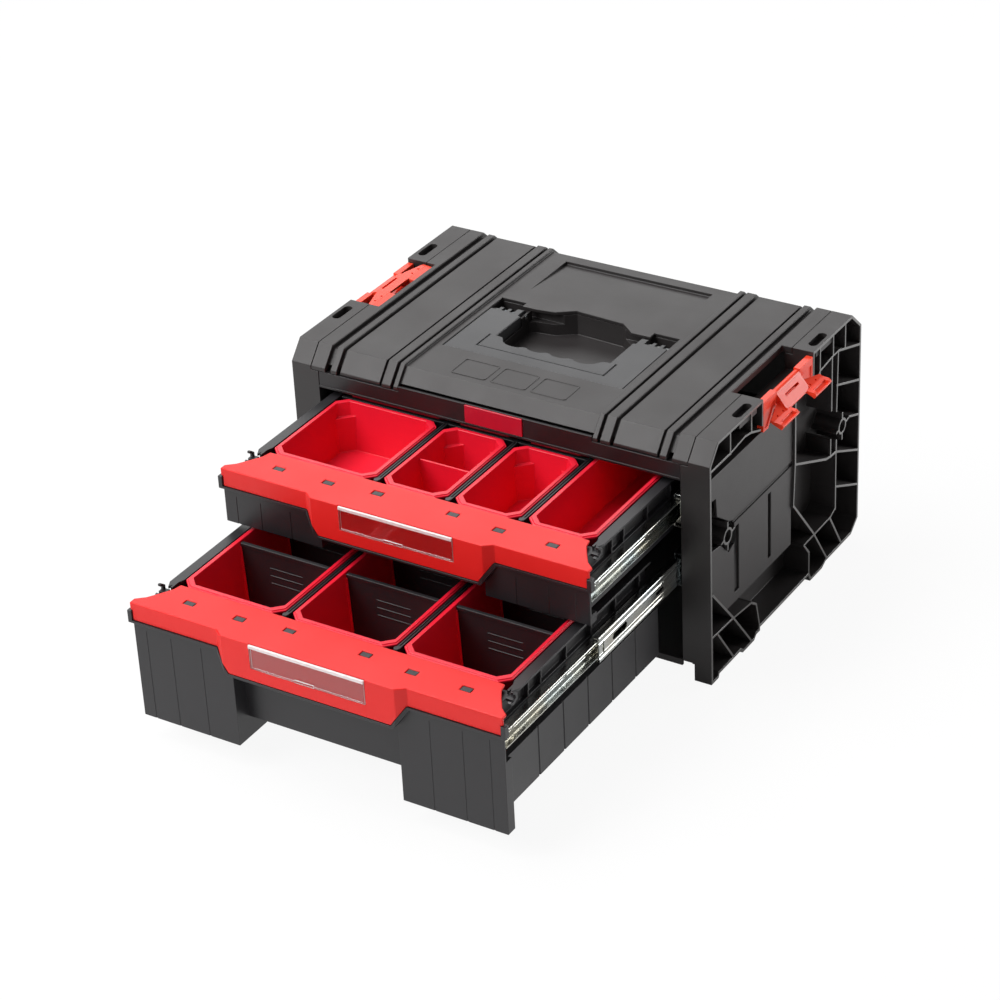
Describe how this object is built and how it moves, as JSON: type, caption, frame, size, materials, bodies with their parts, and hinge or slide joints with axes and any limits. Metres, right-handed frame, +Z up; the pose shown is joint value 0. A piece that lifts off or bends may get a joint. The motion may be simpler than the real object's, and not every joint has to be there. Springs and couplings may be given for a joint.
{
  "type": "tool box with drawers",
  "caption": "Portable moulded tool box with a flap handle, side latches and two pull-out drawers of lift-out bins on ball-bearing slides.",
  "frame": {"origin": "on the floor, under the middle of the whole part with its drawers pulled out and its right latch out", "axes": "X to the right, Y to the back, Z up; millimetre source, stored in metres"},
  "size_m": [0.4701, 0.6272, 0.25],
  "materials": {
    "case_plastic": "fine moulded grain",
    "handle_plastic": "satin",
    "drawer_plastic": "satin",
    "red_plastic": "satin gloss",
    "bin_plastic": "satin gloss",
    "latch_plastic": "gloss",
    "clear_plastic": "clear, polished",
    "zinc_steel": "zinc plated",
    "nylon": "natural"
  },
  "bodies": {
    "cabinet": {"top_cover": "case_plastic", "handle_well": "case_plastic", "handle_pins": "zinc_steel", "side_panel_right": "case_plastic", "side_panel_left": "case_plastic", "case_screws": "zinc_steel", "front_rail": "case_plastic", "badge_plate": "red_plastic", "back_panel": "case_plastic", "bottom_panel": "case_plastic", "latch_base_right": "latch_plastic", "latch_base_left": "latch_plastic", "latch_pins": "zinc_steel", "upper_slide_outer": "zinc_steel", "lower_slide_outer": "zinc_steel", "slide_screws": "zinc_steel"},
    "handle": {"handle": "handle_plastic"},
    "latch_right": {"latch_flap_right": "latch_plastic"},
    "latch_left": {"latch_flap_left": "latch_plastic"},
    "upper_slides": {"upper_slide_mid": "zinc_steel", "upper_cages": "nylon"},
    "lower_slides": {"lower_slide_mid": "zinc_steel", "lower_cages": "nylon"},
    "upper_drawer": {"upper_slide_inner": "zinc_steel", "upper_tray": "drawer_plastic", "upper_cap": "red_plastic", "upper_label_window": "clear_plastic", "upper_catches": "drawer_plastic", "upper_separators": "drawer_plastic", "upper_bin_wide": "bin_plastic", "upper_bin_split": "bin_plastic", "upper_bin_third": "bin_plastic", "upper_bin_fourth": "bin_plastic", "upper_back_bin_wide": "bin_plastic", "upper_back_bins": "bin_plastic", "upper_drawer_screws": "zinc_steel"},
    "lower_drawer": {"lower_slide_inner": "zinc_steel", "lower_drawer_screws": "zinc_steel", "lower_tray": "drawer_plastic", "lower_cap": "red_plastic", "lower_label_window": "clear_plastic", "lower_catches": "drawer_plastic", "lower_separators": "drawer_plastic", "lower_bin_left": "bin_plastic", "lower_bin_middle": "bin_plastic", "lower_bin_right": "bin_plastic", "lower_dividers": "drawer_plastic"}
  },
  "joints": [
    {"name": "handle_hinge", "type": "hinge", "parent": "cabinet", "child": "handle", "pos_m": [-0.01, 0.1676, 0.24], "axis": [-1, 0, 0], "range_deg": [0, 95]},
    {"name": "latch_right_hinge", "type": "hinge", "parent": "cabinet", "child": "latch_right", "pos_m": [0.2113, 0.1586, 0.241], "axis": [0, 1, 0], "range_deg": [-211, 0]},
    {"name": "latch_left_hinge", "type": "hinge", "parent": "cabinet", "child": "latch_left", "pos_m": [-0.2313, 0.1586, 0.241], "axis": [0, -1, 0], "range_deg": [0, 211]},
    {"name": "upper_middle_slide", "type": "slide", "parent": "cabinet", "child": "upper_slides", "axis": [0, -1, 0], "range_m": [0, 0.147]},
    {"name": "upper_drawer_slide", "type": "slide", "parent": "upper_slides", "child": "upper_drawer", "axis": [0, -1, 0], "range_m": [-0.157, 0]},
    {"name": "lower_drawer_slide", "type": "slide", "parent": "cabinet", "child": "lower_drawer", "axis": [0, -1, 0], "range_m": [-0.304, 0]},
    {"name": "lower_middle_slide", "type": "slide", "parent": "cabinet", "child": "lower_slides", "axis": [0, -1, 0], "range_m": [-0.152, 0]}
  ],
  "couplings": [
    {"joint": "lower_middle_slide", "follows": "lower_drawer_slide", "ratio": 0.5}
  ]
}
